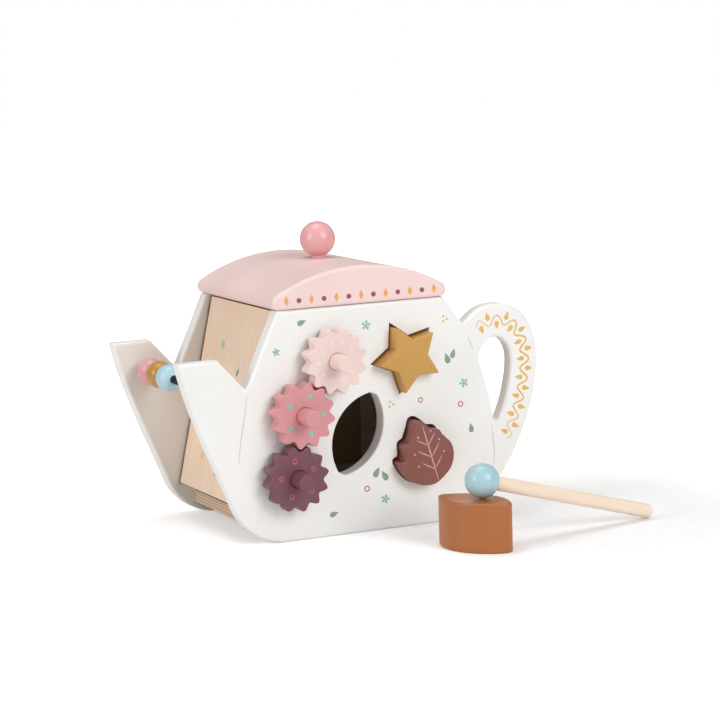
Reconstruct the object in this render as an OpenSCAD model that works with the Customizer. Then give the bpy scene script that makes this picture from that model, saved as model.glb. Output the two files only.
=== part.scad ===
// Wooden activity teapot: a box between two teapot-shaped side panels, with a lift-off lid,
// three meshing gears, beads on a rod, shape blocks to post, a swinging emptying flap,
// a small chime on the back and a beater.
// Frame: X along the length (spout at -X, handle at +X), Y front to back (front at -Y), Z up.
// The origin is on the floor, under the middle of the lid. Millimetres.

/* [Body] */
// Depth of the body over both side panels
body_depth = 140; // [120:1:160]
// Thickness of a side panel
panel_t = 12; // [9:0.5:15]
// Height of the side panels at the lid
body_h = 162; // [150:1:170]
// Width of the body at the lid
top_w = 129; // [118:1:136]
// Length of the flat foot of a side panel
foot_w = 123.6; // [118:0.2:130]
// Radius of the round corner below the spout
foot_r = 41.6; // [36:0.2:44]
// Thickness of the plywood base board
base_t = 9.2; // [8:0.2:11]
// Height of the base board above the floor
base_lift = 8.6; // [6:0.2:12]
// How far the base board runs past the flat foot at each end
base_past = 17.8; // [15:0.2:20]
// Thickness of the plywood wall at the handle end
wall_t = 8; // [7:0.5:10]
// How far the foot of that wall stands past the base board
wall_past = 3.6; // [2:0.2:5]
// Radius of the dowels that join the boards to the side panels
dowel_r = 2.5; // [2:0.25:3]

/* [Spout] */
// Reach of the spout tip from the middle of the body
spout_reach = 138.4; // [134:0.2:146]
// Height of the spout tip
spout_h = 131.8; // [127:0.2:136]
// Width of the spout tip
spout_tip_w = 29.4; // [26:0.2:32]
// Distance of the notch behind the spout from the middle
notch_x = 89.5; // [86:0.5:92]
// Height of the notch behind the spout
notch_h = 110; // [106:0.5:114]
// Outward bow of the spout's lower edge
spout_bow = 5.4; // [3:0.1:7]

/* [Handle] */
// Reach of the handle from the middle of the body
handle_reach = 139.9; // [135:0.1:147]
// Height of the top of the handle
handle_h = 153.9; // [151:0.1:157]
// Width of the handle at its outermost point
grip_w = 21.9; // [19:0.1:24]
// Width of the handle over the finger loop
grip_top = 24.4; // [22:0.1:27]
// Width of the finger loop
loop_w = 25.5; // [22:0.5:28]
// Height of the finger loop
loop_h = 62; // [54:1:66]

/* [Lid] */
// Height of the lid at its middle
lid_h = 27; // [22:0.5:32]
// Height of the lid at its ends
lid_end_h = 8.2; // [7:0.1:10]
// How far the lid stands past the body at each end
lid_over = 2.8; // [1.5:0.1:4]
// Thickness of the board under the lid that drops between the panels
tongue_t = 7; // [5:0.5:9]
// How far the board under the lid stops short of the body at each end
tongue_short = 14.5; // [14:0.5:18]
// Radius of the ball knob
knob_r = 12.8; // [11:0.1:15]
// Radius of the dowel in the knob
knob_dowel_r = 4; // [3:0.5:5]

/* [Gears] */
// Teeth on each gear
gear_teeth = 12; // [10:1:13]
// Pitch radius of each gear
gear_pitch_r = 21.9; // [20.5:0.1:22.5]
// Height of a tooth from root to tip
tooth_h = 4.2; // [3.4:0.1:4.6]
// How far the middle of a tooth's height lies inside the pitch circle
tooth_slack = 0.7; // [0.5:0.1:1]
// Thickness of each gear
gear_t = 11.5; // [9:0.5:14]
// Middle gear, distance in from the body's top corner
gear_mid_in = 12.3; // [10:0.1:14]
// Middle gear, height as a share of the body's height
gear_mid_share = 0.5556; // [0.53:0.001:0.58]
// Radius of the peg that turns a gear
peg_r = 6; // [5:0.5:7]
// How far a peg stands out of its gear
peg_out = 16; // [12:1:20]
// Radius of the axle behind a gear
axle_r = 4; // [3:0.5:4.5]
// Thickness of the spacer behind a gear
spacer_t = 2.5; // [2:0.5:4]
// Radius of the washer that keeps an axle in
washer_r = 8; // [6.5:0.5:8.5]

/* [Blocks] */
// Thickness of the posting blocks
block_t = 34.2; // [28:0.2:38]
// How far the star and the leaf stand out of the panel
block_out = 10; // [6:0.5:14]
// Radius of the star block over its points
star_r = 25.2; // [23:0.2:26]
// Radius of the star block in its notches
star_notch_r = 13.6; // [12:0.2:14.4]
// Radius of the leaf block's round belly
leaf_r = 21.2; // [19:0.2:22]
// Length of the lens block
lens_len = 61; // [54:1:64]
// Width of the lens block
lens_w = 34; // [28:1:36]
// Gap between a block and its hole
block_clear = 1.2; // [0.8:0.1:1.4]

/* [Beads] */
// Radius of a bead
bead_r = 9.75; // [8:0.25:11]
// Radius of the bead rod
bead_rod_r = 3; // [2:0.25:3.5]
// Bead rod, distance in from the spout tip
bead_rod_inset = 23.6; // [19:0.1:25.1]
// Bead rod, distance below the spout tip
bead_rod_down = 20.9; // [17:0.1:22.4]

/* [Flap] */
// Thickness of the plywood flap under the spout
flap_t = 6; // [5:0.5:7]
// Lean of the flap
flap_lean = 12.9; // [11:0.1:14]
// Height of the lower edge of the flap
flap_low = 24.5; // [21:0.1:30]
// Gap between the flap and each side panel
flap_side_gap = 2; // [0.5:0.1:2.5]
// Radius of the pins that the flap swings on
flap_pin_r = 1.5; // [1:0.25:1.75]

/* [Chime] */
// Length of the longest bar
chime_long = 96; // [84:1:100]
// How much shorter each next bar is
chime_step = 8; // [4:0.5:9]
// Width of a bar
chime_bar_w = 13; // [10:0.5:14]
// Thickness of a bar
chime_bar_t = 2.5; // [2:0.25:4]
// Distance from one bar to the next
chime_pitch = 17; // [16:0.5:19]
// Height of the middle of the chime as a share of the body's height
chime_mid_share = 0.506; // [0.47:0.001:0.54]
// Height of the rails that carry the bars
chime_rail_t = 9; // [8:0.5:12]

/* [Beater] */
// Radius of the beater's ball
beater_r = 12; // [10:0.5:14]
// Radius of the beater's stick
stick_r = 5; // [4:0.25:6]
// Length of the beater's stick from the middle of the ball
stick_len = 150; // [130:1:180]

/* [Fits] */
// Radial clearance of a turning shaft
run_fit = 0.08; // [0.04:0.01:0.1]
// Radial gap of a glued or screwed joint
glue_gap = 0.04; // [0.02:0.01:0.08]
// Gap between faces that move past each other
run_gap = 0.3; // [0.2:0.05:0.5]

/* [Hidden] */
$fn = 64;

// Main faces
front_y = -body_depth / 2;
back_y = body_depth / 2;
front_in = front_y + panel_t;
back_in = back_y - panel_t;
inner_depth = back_in - front_in;
cut = 1;

// Panel outline
spout_tip = [-spout_reach, spout_h];
spout_lip = [-spout_reach + spout_tip_w, spout_h];
notch = [-notch_x, notch_h];
notch_soft = 3;
spout_bow_dir = [-0.92, -0.38];
spout_bow_low = 0.15 * spout_bow;
foot_mid = [-foot_w / 2, foot_r];
foot_end = [foot_w / 2, 0];
spout_run = norm(spout_tip - foot_mid);
spout_dir = atan2(foot_mid[1] - spout_tip[1], foot_mid[0] - spout_tip[0]) - asin(foot_r / spout_run);
foot_start = foot_mid + foot_r * [cos(spout_dir - 90), sin(spout_dir - 90)];
handle_root_out = 15.1;
handle_root_down = 20;
handle_top_in = 33.9;
handle_out_down = 42.2;
handle_root = [top_w / 2 + handle_root_out, body_h - handle_root_down];
handle_top = [handle_reach - handle_top_in, handle_h];
handle_out = [handle_reach, handle_h - handle_out_down];
foot_pull = [41, 0];
grip_pull = [0, 42.3];
bend_pull = [0, 25.9];
crown_pull = [21.8, 0];
dip_pull = [14.9, 0];
root_pull = [6.9, 4.6];
loop_right = handle_reach - grip_w;
loop_left = loop_right - loop_w;
loop_top = handle_h - grip_top;

// Boards and dowels
base_mid_z = base_lift + base_t / 2;
base_top = base_lift + base_t;
base_len = foot_w + 2 * base_past;
wall_in = 3;
wall_down = 1;
wall_top = [top_w / 2 - wall_in, body_h - wall_down];
wall_lean = atan2(base_len / 2 + wall_past - wall_top[0], wall_top[1] - base_top);
wall_len = (wall_top[1] - base_top) / cos(wall_lean);
dowel_in_panel = panel_t * 0.6;
dowel_in_board = 14;
base_dowel_x = [-base_len * 0.3, base_len * 0.3];
wall_dowel_down = [35, 105];

// Lid
lid_seat = body_h + run_gap;
lid_half = top_w / 2 + lid_over;
lid_top = lid_seat + lid_h;
lid_rise = lid_h - lid_end_h;
lid_arc_r = (lid_half * lid_half + lid_rise * lid_rise) / (2 * lid_rise);
lid_arc_z = lid_top - lid_arc_r;
lid_corner_r = 4.6;
tongue_side_gap = 0.5;
tongue_len = top_w - 2 * tongue_short;
tongue_w = inner_depth - 2 * tongue_side_gap;
knob_flat_r = knob_dowel_r + 1;
knob_foot_h = 1.4;
knob_z = lid_top + knob_foot_h + sqrt(knob_r * knob_r - knob_flat_r * knob_flat_r);
knob_dowel_top = knob_z + knob_r * 0.5;
knob_dowel_low = lid_top - lid_h * 0.6;
lid_screw_r = 1.75;
lid_screw_head_r = 3.5;
lid_screw_head_h = 2;
lid_screw_in = 9;
lid_screw_at = [tongue_len * 0.38, tongue_w * 0.38];

// Gears: the middle gear's place, and the directions of the other two from it
gear_top_dir = 54.1;
gear_bottom_dir = -98.3;
gear_first_turn = 13.5;
gear_step = 360 / gear_teeth;
tooth_steps = 16;
gear_mean_r = gear_pitch_r - tooth_slack;
gear_mid_at = [gear_mid_in - top_w / 2, gear_mid_share * body_h];
gear_top_at = gear_mid_at + 2 * gear_pitch_r * [cos(gear_top_dir), sin(gear_top_dir)];
gear_bottom_at = gear_mid_at + 2 * gear_pitch_r * [cos(gear_bottom_dir), sin(gear_bottom_dir)];
gear_mid_turn = mesh_turn(gear_top_dir + 180, gear_first_turn);
gear_bottom_turn = mesh_turn(gear_bottom_dir, gear_mid_turn);
gear_back_y = front_y - spacer_t - run_gap;
gear_face_y = gear_back_y - gear_t;
axle_end_y = front_in + run_gap;
washer_t = 2;
spacer_r = axle_r + 5;
peg_round = 1;
axle_screw_r = 1.75;
axle_screw_in = 14;
axle_screw_head_r = 3.5;
axle_screw_head_h = 2.5;

// Blocks and their holes
star_at = [0.2543 * top_w, 0.7512 * body_h];
star_turn = 25.3;
leaf_z = 0.3164 * body_h;
leaf_wall_gap = 5.4;
leaf_at = [wall_inner_x(leaf_z) - leaf_wall_gap - leaf_r, leaf_z];
// Edges of the leaf from notch to notch, clockwise, in belly radii from the middle of its belly
leaf_top = [
    [-0.648, 0.496], [-0.55, 0.729], [-0.501, 0.968], [-0.454, 1.141], [-0.399, 1.197],
    [-0.274, 1.216], [-0.11, 1.137], [0.032, 1.016], [0.158, 0.903]];
leaf_tooth = [
    [0.158, 0.903], [0.278, 0.881], [0.445, 0.863], [0.526, 0.776], [0.597, 0.665], [0.646, 0.565]];
leaf_belly = [
    [0.646, 0.565], [0.75, 0.516], [0.853, 0.434], [0.944, 0.297], [1.001, 0.092], [1.008, -0.098],
    [0.962, -0.302], [0.873, -0.5], [0.737, -0.656], [0.586, -0.79], [0.404, -0.921], [0.224, -0.99],
    [0.014, -1.003], [-0.215, -0.971], [-0.442, -0.896], [-0.646, -0.769], [-0.806, -0.6],
    [-0.915, -0.438], [-0.987, -0.292], [-1.011, -0.186], [-0.968, -0.135], [-0.847, -0.116]];
leaf_lobe = [
    [-0.847, -0.116], [-0.808, 0.035], [-0.819, 0.19], [-0.833, 0.329], [-0.799, 0.428],
    [-0.648, 0.496]];
leaf_outline = concat(spline(leaf_top), spline(leaf_tooth), spline(leaf_belly), spline(leaf_lobe));
// A block rests low in its hole, so the hole's middle is a little higher
block_drop = block_clear - run_gap;
lens_at = [-0.0434 * top_w, 0.4377 * body_h];
lens_turn = 64;
lens_arc_r = (lens_len * lens_len + lens_w * lens_w) / (4 * lens_w);
lens_tip_cut = 1.5;
block_face_y = front_y - block_out;
lens_floor_x = 39.4;
lens_floor_ahead = 86.2;
lens_floor_at = [lens_floor_x, front_y - lens_floor_ahead];
lens_floor_turn = -63.5;

// Beads: all three pushed along the rod towards the back panel
bead_rod_at = [bead_rod_inset - spout_reach, spout_h - bead_rod_down];
bead_bore_r = bead_rod_r + run_fit;
bead_half = sqrt(bead_r * bead_r - bead_bore_r * bead_bore_r);
bead_step = 2 * bead_half + run_gap;
bead_rest_gap = 2.5;
bead_pink_y = back_in - bead_rest_gap - bead_half;
bead_rod_in = panel_t / 2;

// Flap: hung on two pins near its upper edge
flap_top_gap = 1.2;
flap_pin_down = 10;
flap_pin_in = 4.2;
flap_pin_x = -top_w / 2 + flap_pin_in;
flap_pin_z = body_h - flap_top_gap - flap_pin_down * cos(flap_lean) - flap_t / 2 * sin(flap_lean);
flap_below = (flap_pin_z - flap_low) / cos(flap_lean);
flap_w = inner_depth - 2 * flap_side_gap;
flap_pin_in_flap = 10;
flap_pin_in_panel = panel_t / 2;
stop_size = 6;
stop_len = 16;
stop_down = flap_below * 0.83;

// Chime on the back panel: bars that hang at chime_node of their length from the middle
chime_bars = 5;
chime_node = 0.276;
chime_mid_z = chime_mid_share * body_h;
chime_first_x = chime_pitch * (chime_bars - 1) / 2;
chime_last_len = chime_long - chime_step * (chime_bars - 1);
chime_rail_w = 9;
chime_rail_past = 9;
chime_rail_y = back_y + chime_rail_t;
chime_felt_t = 1.5;
chime_felt_r = 4;
chime_screw_r = 1.4;
chime_screw_head_r = 3.2;
chime_screw_head_h = 2;
chime_screw_in = chime_rail_t - 2;
chime_hole_r = 2.2;
chime_bar_y = chime_rail_y + chime_felt_t;
chime_face_y = chime_bar_y + chime_bar_t;
chime_spots = [for (i = [0 : chime_bars - 1], s = [-1, 1]) chime_spot(i, s)];

// Beater: ball on the lens block, stick down to the floor
beater_along = 4.9;
beater_ahead = 2.2;
beater_at = [lens_floor_at[0] + beater_along, lens_floor_at[1] - beater_ahead, block_t + run_gap + beater_r];
stick_heading = 6.8;
stick_floor_gap = 0.1;
stick_dip = asin((beater_at[2] - stick_r - stick_floor_gap) / stick_len);
stick_in_ball = 9;

// Colours
white_paint = "#F2F0EC";
birch = "#E0C4A4";
beech = "#F2D9BA";
pale_pink = "#F0CFC6";
mid_pink = "#E29A9C";
plum = "#85525E";
steel = "#B9BCC0";
black_paint = "#222224";

// Curves and lists of points

function bezier(a, b, c, d, n = 14) = [for (i = [0 : n]) let (t = i / n, s = 1 - t)
    s * s * s * a + 3 * s * s * t * b + 3 * s * t * t * c + t * t * t * d];

function arc(mid, r, from, to, n = 10) =
    [for (i = [0 : n]) let (a = from + (to - from) * i / n) mid + r * [cos(a), sin(a)]];

// Inner face of the wall at the handle end, at height z
function wall_inner_x(z) = wall_top[0] + (wall_top[1] - z) * tan(wall_lean) - wall_t / cos(wall_lean);

function loop_point(u, v) = [loop_left + u * loop_w, loop_top - loop_h + v * loop_h];

// Turn of a gear that meshes with another of the same size, which lies in direction dir from it
function mesh_turn(dir, turn) = 2 * dir + 180 - turn - gear_step / 2;

function at_angle(r, a) = [r * cos(a), r * sin(a)];

// Outline of a gear with rounded teeth, the first at angle turn
function gear_points(turn) = [for (k = [0 : gear_teeth * tooth_steps - 1])
    at_angle(gear_mean_r + tooth_h / 2 * cos(360 * k / tooth_steps), turn + k * gear_step / tooth_steps)];

// Smooth open line through points, without the last one
function spline(p, steps = 2) = [for (i = [0 : len(p) - 2], k = [0 : steps - 1]) let (
        t = k / steps,
        a = p[max(0, i - 1)],
        b = p[i],
        c = p[i + 1],
        d = p[min(len(p) - 1, i + 2)])
    b + ((c - a) * t + (2 * a - 5 * b + 4 * c - d) * t * t + (3 * b - a - 3 * c + d) * t * t * t) / 2];

function unit(v) = v / norm(v);

// Moves the corners of a closed clockwise outline out by gap
function grown(p, gap) = [for (i = [0 : len(p) - 1]) let (
        before = unit(p[i] - p[(i + len(p) - 1) % len(p)]),
        after = unit(p[(i + 1) % len(p)] - p[i]),
        along = unit(before + after))
    p[i] + gap / (along * after) * [-along[1], along[0]]];

// Factor that moves the sides of the star out by gap
function star_grow(gap) = let (
        side = sqrt(star_r * star_r + star_notch_r * star_notch_r - 2 * star_r * star_notch_r * cos(36)),
        reach = star_r * star_notch_r * sin(36) / side)
    (reach + gap) / reach;

function chime_len(i) = chime_long - i * chime_step;
function chime_x(i) = chime_first_x - i * chime_pitch;
function chime_spot(i, side) = [chime_x(i), chime_mid_z + side * chime_node * chime_len(i)];

// Shared shapes

// Extrudes an outline drawn in X and Z, from face_y back by depth
module upright(face_y, depth) {
    translate([0, face_y + depth, 0])
        rotate([90, 0, 0])
            linear_extrude(depth)
                children();
}

// A round bar along Y at a place in X and Z
module y_bar(at, from_y, to_y, r) {
    translate([at[0], from_y, at[1]])
        rotate([-90, 0, 0])
            cylinder(h = to_y - from_y, r = r);
}

module panel_outline() {
    difference() {
        polygon(concat(
            bezier(spout_tip, spout_tip + (foot_start - spout_tip) / 3 + spout_bow * spout_bow_dir,
                spout_tip + (foot_start - spout_tip) * 2 / 3 + spout_bow_low * spout_bow_dir, foot_start),
            arc(foot_mid, foot_r, spout_dir - 90 + 360, 270),
            bezier(foot_end, foot_end + foot_pull, handle_out - grip_pull, handle_out, 22),
            bezier(handle_out, handle_out + bend_pull, handle_top + crown_pull, handle_top),
            bezier(handle_top, handle_top - dip_pull, handle_root + root_pull, handle_root),
            [[top_w / 2, body_h], [-top_w / 2, body_h]],
            [notch + notch_soft * [0.73, 1], notch + notch_soft * [0, 0.2], notch + notch_soft * [-0.87, 1]],
            [spout_lip]));
        polygon(concat(
            bezier(loop_point(0.52, 1), loop_point(0.79, 1), loop_point(1, 0.87), loop_point(1, 0.73)),
            bezier(loop_point(1, 0.73), loop_point(1, 0.52), loop_point(0.81, 0.23), loop_point(0.61, 0.08)),
            bezier(loop_point(0.61, 0.08), loop_point(0.55, 0), loop_point(0.43, 0), loop_point(0.39, 0.09)),
            bezier(loop_point(0.39, 0.09), loop_point(0.32, 0.33),
                loop_point(0.13, 0.57), loop_point(0, 0.75)),
            bezier(loop_point(0, 0.75), loop_point(-0.04, 0.84), loop_point(0.2, 1), loop_point(0.52, 1))));
    }
}

module star_shape(gap = 0) {
    translate(star_at)
        rotate(star_turn)
            scale(star_grow(gap))
                polygon([for (k = [0 : 9]) at_angle(k % 2 == 0 ? star_r : star_notch_r, 90 + k * 36)]);
}

module leaf_shape(gap = 0) {
    translate(leaf_at)
        polygon(grown(leaf_r * leaf_outline, gap));
}

// Two equal arcs that meet in blunt tips along X
module lens_shape(gap = 0) {
    intersection() {
        translate([0, lens_arc_r - lens_w / 2])
            circle(r = lens_arc_r + gap, $fn = 128);
        translate([0, lens_w / 2 - lens_arc_r])
            circle(r = lens_arc_r + gap, $fn = 128);
        circle(r = lens_len / 2 - lens_tip_cut + gap);
    }
}

// Places children along the wall at the handle end: X into its thickness, Z up its slope
module on_wall() {
    translate([wall_top[0], 0, wall_top[1]])
        rotate([0, -wall_lean, 0])
            children();
}

// Places children on the flap: the pin axis is the origin, Z up its slope
module on_flap() {
    translate([flap_pin_x, 0, flap_pin_z])
        rotate([0, flap_lean, 0])
            children();
}

// Dowels between a board and one side panel; inner_y is the panel's inner face, grow widens them to holes
module dowels_at(inner_y, grow = 0) {
    away = sign(inner_y);
    from_y = min(inner_y + away * (dowel_in_panel + grow), inner_y - away * (dowel_in_board + grow));
    to_y = max(inner_y + away * (dowel_in_panel + grow), inner_y - away * (dowel_in_board + grow));
    for (x = base_dowel_x)
        y_bar([x, base_mid_z], from_y, to_y, dowel_r + grow);
    on_wall()
        for (down = wall_dowel_down)
            y_bar([-wall_t / 2, -down], from_y, to_y, dowel_r + grow);
}

// A pin of the flap at one end; grow widens it to the hole in the panel
module flap_pin(inner_y, grow = 0) {
    away = sign(inner_y);
    outer = inner_y + away * (flap_pin_in_panel + grow);
    tip = away * (flap_w / 2 - flap_pin_in_flap);
    y_bar([flap_pin_x, flap_pin_z], min(outer, tip), max(outer, tip), flap_pin_r + grow);
}

// Right half of a disc, for turning a ball, with room for a bore along its axis
module half_disc(r, bore_r = 0) {
    intersection() {
        circle(r = r);
        translate([bore_r, -r])
            square([r, 2 * r]);
    }
}

// A side panel with the joints that both panels have
module side_panel(face_y, inner_y) {
    difference() {
        upright(face_y, panel_t)
            panel_outline();
        dowels_at(inner_y, glue_gap);
        flap_pin(inner_y, glue_gap);
        y_bar(bead_rod_at, front_in - bead_rod_in - glue_gap, back_in + bead_rod_in + glue_gap,
            bead_rod_r + glue_gap);
    }
}

// A turned peg with the axle behind it, drilled for its screw
module axle(at) {
    difference() {
        union() {
            translate([at[0], gear_back_y, at[1]])
                rotate([90, 0, 0])
                    rotate_extrude()
                        polygon(concat([[0, 0], [peg_r, 0]],
                            arc([peg_r - peg_round, gear_t + peg_out - peg_round], peg_round, 0, 90, 4),
                            [[0, gear_t + peg_out]]));
            y_bar(at, gear_back_y - cut, axle_end_y, axle_r);
        }
        y_bar(at, axle_end_y - axle_screw_in - glue_gap, axle_end_y + cut, axle_screw_r + glue_gap);
    }
}

module gear(at, turn) {
    difference() {
        upright(gear_face_y, gear_t)
            translate(at)
                polygon(gear_points(turn));
        y_bar(at, gear_face_y - cut, gear_back_y + cut, peg_r + glue_gap);
    }
}

module washer(at) {
    difference() {
        y_bar(at, axle_end_y, axle_end_y + washer_t, washer_r);
        y_bar(at, axle_end_y - cut, axle_end_y + washer_t + cut, axle_screw_r + glue_gap);
    }
}

module axle_screw(at) {
    y_bar(at, axle_end_y - axle_screw_in, axle_end_y + washer_t + cut, axle_screw_r);
    y_bar(at, axle_end_y + washer_t, axle_end_y + washer_t + axle_screw_head_h, axle_screw_head_r);
}

// A turned bead on the rod, counted from the back panel
module bead(count) {
    y = bead_pink_y - count * bead_step;
    translate([bead_rod_at[0], y, bead_rod_at[1]])
        rotate([90, 0, 0])
            rotate_extrude()
                half_disc(bead_r, bead_bore_r);
}

// Aims children along the beater's stick: Z runs from the middle of the ball to the stick's end
module along_stick() {
    translate(beater_at)
        rotate([0, 90 + stick_dip, stick_heading])
            children();
}

module chime_bar(i) {
    color(i % 2 == 0 ? "#D9A9A6" : "#D8B36A")
        difference() {
            translate([chime_x(i) - chime_bar_w / 2, chime_bar_y, chime_mid_z - chime_len(i) / 2])
                cube([chime_bar_w, chime_bar_t, chime_len(i)]);
            for (side = [-1, 1])
                y_bar(chime_spot(i, side), chime_bar_y - cut, chime_face_y + cut, chime_hole_r);
        }
}

// Sub-parts of the body

module front_panel() {
    color(white_paint)
        difference() {
            side_panel(front_y, front_in);
            for (at = [gear_top_at, gear_mid_at, gear_bottom_at])
                y_bar(at, front_y - cut, front_in + cut, axle_r + run_fit);
            upright(front_y - cut, panel_t + 2 * cut) {
                translate([0, block_drop]) {
                    star_shape(block_clear);
                    leaf_shape(block_clear);
                }
                translate(lens_at)
                    rotate(lens_turn)
                        lens_shape(block_clear);
            }
        }
}

module back_panel() {
    color(white_paint)
        side_panel(back_in, back_in);
}

module base_board() {
    color(birch)
        difference() {
            translate([-base_len / 2, front_in, base_lift])
                cube([base_len, inner_depth, base_t]);
            dowels_at(front_in, glue_gap);
            dowels_at(back_in, glue_gap);
        }
}

module handle_wall() {
    color(birch)
        difference() {
            intersection() {
                on_wall()
                    translate([-wall_t, front_in, -wall_len - wall_t])
                        cube([wall_t, inner_depth, wall_len + 2 * wall_t]);
                translate([0, front_in, base_top])
                    cube([handle_reach, inner_depth, wall_top[1] - base_top]);
            }
            dowels_at(front_in, glue_gap);
            dowels_at(back_in, glue_gap);
        }
}

module panel_dowels() {
    color(beech) {
        dowels_at(front_in);
        dowels_at(back_in);
    }
}

module bead_rod() {
    color(black_paint)
        y_bar(bead_rod_at, front_in - bead_rod_in, back_in + bead_rod_in, bead_rod_r);
}

module flap_pins() {
    color(steel) {
        flap_pin(front_in);
        flap_pin(back_in);
    }
}

module flap_stops() {
    color(birch)
        on_flap()
            for (y = [front_in, back_in - stop_size])
                translate([flap_t / 2 + run_gap, y, -stop_down])
                    cube([stop_size, stop_size, stop_len]);
}

module gear_spacers() {
    color(beech)
        for (at = [gear_top_at, gear_mid_at, gear_bottom_at])
            difference() {
                y_bar(at, front_y - spacer_t, front_y, spacer_r);
                y_bar(at, front_y - spacer_t - cut, front_y + cut, axle_r + run_fit);
            }
}

module spout_flap() {
    color(birch)
        difference() {
            on_flap()
                translate([-flap_t / 2, -flap_w / 2, -flap_below])
                    cube([flap_t, flap_w, flap_below + flap_pin_down]);
            for (side = [-1, 1])
                y_bar([flap_pin_x, flap_pin_z],
                    side > 0 ? flap_w / 2 - flap_pin_in_flap - run_gap : -flap_w / 2 - cut,
                    side > 0 ? flap_w / 2 + cut : -flap_w / 2 + flap_pin_in_flap + run_gap,
                    flap_pin_r + run_fit);
        }
}

// Sub-parts of the lid

module lid_block() {
    edge = asin((lid_half - lid_corner_r * 0.4) / lid_arc_r);
    color("#EBCBC6")
        difference() {
            upright(front_y, body_depth)
                polygon(concat(
                    [[-lid_half + lid_corner_r, lid_seat], [lid_half - lid_corner_r, lid_seat]],
                    arc([lid_half - lid_corner_r, lid_seat + lid_corner_r], lid_corner_r, -90, 20, 6),
                    arc([0, lid_arc_z], lid_arc_r, 90 - edge, 90 + edge, 32),
                    arc([-lid_half + lid_corner_r, lid_seat + lid_corner_r], lid_corner_r, 160, 270, 6)));
            knob_dowel_shape(glue_gap);
            lid_screw_shanks(glue_gap);
        }
}

// The dowel between lid and knob; grow widens it to its holes
module knob_dowel_shape(grow = 0) {
    translate([0, 0, knob_dowel_low - grow])
        cylinder(h = knob_dowel_top - knob_dowel_low + 2 * grow, r = knob_dowel_r + grow);
}

// Shanks of the screws that hold the board under the lid; grow widens them to holes
module lid_screw_shanks(grow = 0) {
    for (x = [-1, 1], y = [-1, 1])
        translate([x * lid_screw_at[0], y * lid_screw_at[1], lid_seat - tongue_t])
            cylinder(h = tongue_t + lid_screw_in + grow, r = lid_screw_r + grow);
}

module lid_tongue() {
    color(birch)
        difference() {
            translate([-tongue_len / 2, -tongue_w / 2, lid_seat - tongue_t])
                cube([tongue_len, tongue_w, tongue_t]);
            translate([0, 0, -cut])
                lid_screw_shanks(glue_gap);
        }
}

module lid_screws() {
    color(steel) {
        lid_screw_shanks();
        for (x = [-1, 1], y = [-1, 1])
            translate([x * lid_screw_at[0], y * lid_screw_at[1], lid_seat - tongue_t - lid_screw_head_h])
                cylinder(h = lid_screw_head_h, r = lid_screw_head_r);
    }
}

module lid_knob() {
    color("#E08E96")
        translate([0, 0, knob_z])
            rotate_extrude()
                difference() {
                    union() {
                        half_disc(knob_r);
                        translate([0, lid_top - knob_z])
                            square([knob_flat_r, knob_z - lid_top]);
                    }
                    translate([-cut, -knob_r - cut])
                        square([knob_dowel_r + glue_gap + cut,
                            knob_dowel_top - knob_z + glue_gap + knob_r + cut]);
                }
}

module knob_dowel() {
    color(beech)
        knob_dowel_shape();
}

// Sub-parts of the gears

module gear_top() { color(pale_pink) gear(gear_top_at, gear_first_turn); }
module gear_middle() { color(mid_pink) gear(gear_mid_at, gear_mid_turn); }
module gear_bottom() { color(plum) gear(gear_bottom_at, gear_bottom_turn); }
module axle_top() { color(pale_pink) axle(gear_top_at); }
module axle_middle() { color(mid_pink) axle(gear_mid_at); }
module axle_bottom() { color(plum) axle(gear_bottom_at); }
module washer_top() { color(steel) washer(gear_top_at); }
module washer_middle() { color(steel) washer(gear_mid_at); }
module washer_bottom() { color(steel) washer(gear_bottom_at); }
module screw_top() { color(steel) axle_screw(gear_top_at); }
module screw_middle() { color(steel) axle_screw(gear_mid_at); }
module screw_bottom() { color(steel) axle_screw(gear_bottom_at); }

// Blocks, beads and the beater

module star_block() {
    color("#CC9C4E")
        upright(block_face_y, block_t)
            star_shape();
}

module leaf_block() {
    color("#955A50")
        upright(block_face_y, block_t)
            leaf_shape();
}

module lens_block() {
    color("#B5703F")
        translate(lens_floor_at)
            rotate(lens_floor_turn)
                linear_extrude(block_t)
                    lens_shape();
}

module beater_ball() {
    color("#A9D0DA")
        along_stick()
            rotate_extrude()
                difference() {
                    half_disc(beater_r);
                    translate([-cut, beater_r - stick_in_ball - glue_gap])
                        square([stick_r + glue_gap + cut, beater_r]);
                }
}

module beater_stick() {
    color(beech)
        along_stick()
            translate([0, 0, beater_r - stick_in_ball])
                cylinder(h = stick_len - beater_r + stick_in_ball, r = stick_r);
}

module bead_pink() { color("#DDA0A4") bead(0); }
module bead_ochre() { color("#C08C3E") bead(1); }
module bead_blue() { color("#B0D2DE") bead(2); }

// Sub-parts of the chime

module chime_rails() {
    slope = atan2(chime_node * (chime_long - chime_last_len), chime_pitch * (chime_bars - 1));
    rail_len = chime_pitch * (chime_bars - 1) / cos(slope) + 2 * chime_rail_past;
    mid_out = chime_node * (chime_long + chime_last_len) / 2;
    color(beech)
        difference() {
            for (side = [-1, 1])
                upright(back_y, chime_rail_t)
                    translate([0, chime_mid_z + side * mid_out])
                        rotate(side * slope)
                            square([rail_len, chime_rail_w], center = true);
            for (spot = chime_spots)
                y_bar(spot, chime_rail_y - chime_screw_in - glue_gap, chime_rail_y + cut,
                    chime_screw_r + glue_gap);
        }
}

module chime_felts() {
    color("#8C8F8A")
        for (spot = chime_spots)
            difference() {
                y_bar(spot, chime_rail_y, chime_bar_y, chime_felt_r);
                y_bar(spot, chime_rail_y - cut, chime_bar_y + cut, chime_screw_r + glue_gap);
            }
}

module chime_screws() {
    color(steel)
        for (spot = chime_spots) {
            y_bar(spot, chime_rail_y - chime_screw_in, chime_face_y + cut, chime_screw_r);
            y_bar(spot, chime_face_y, chime_face_y + chime_screw_head_h, chime_screw_head_r);
        }
}

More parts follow.
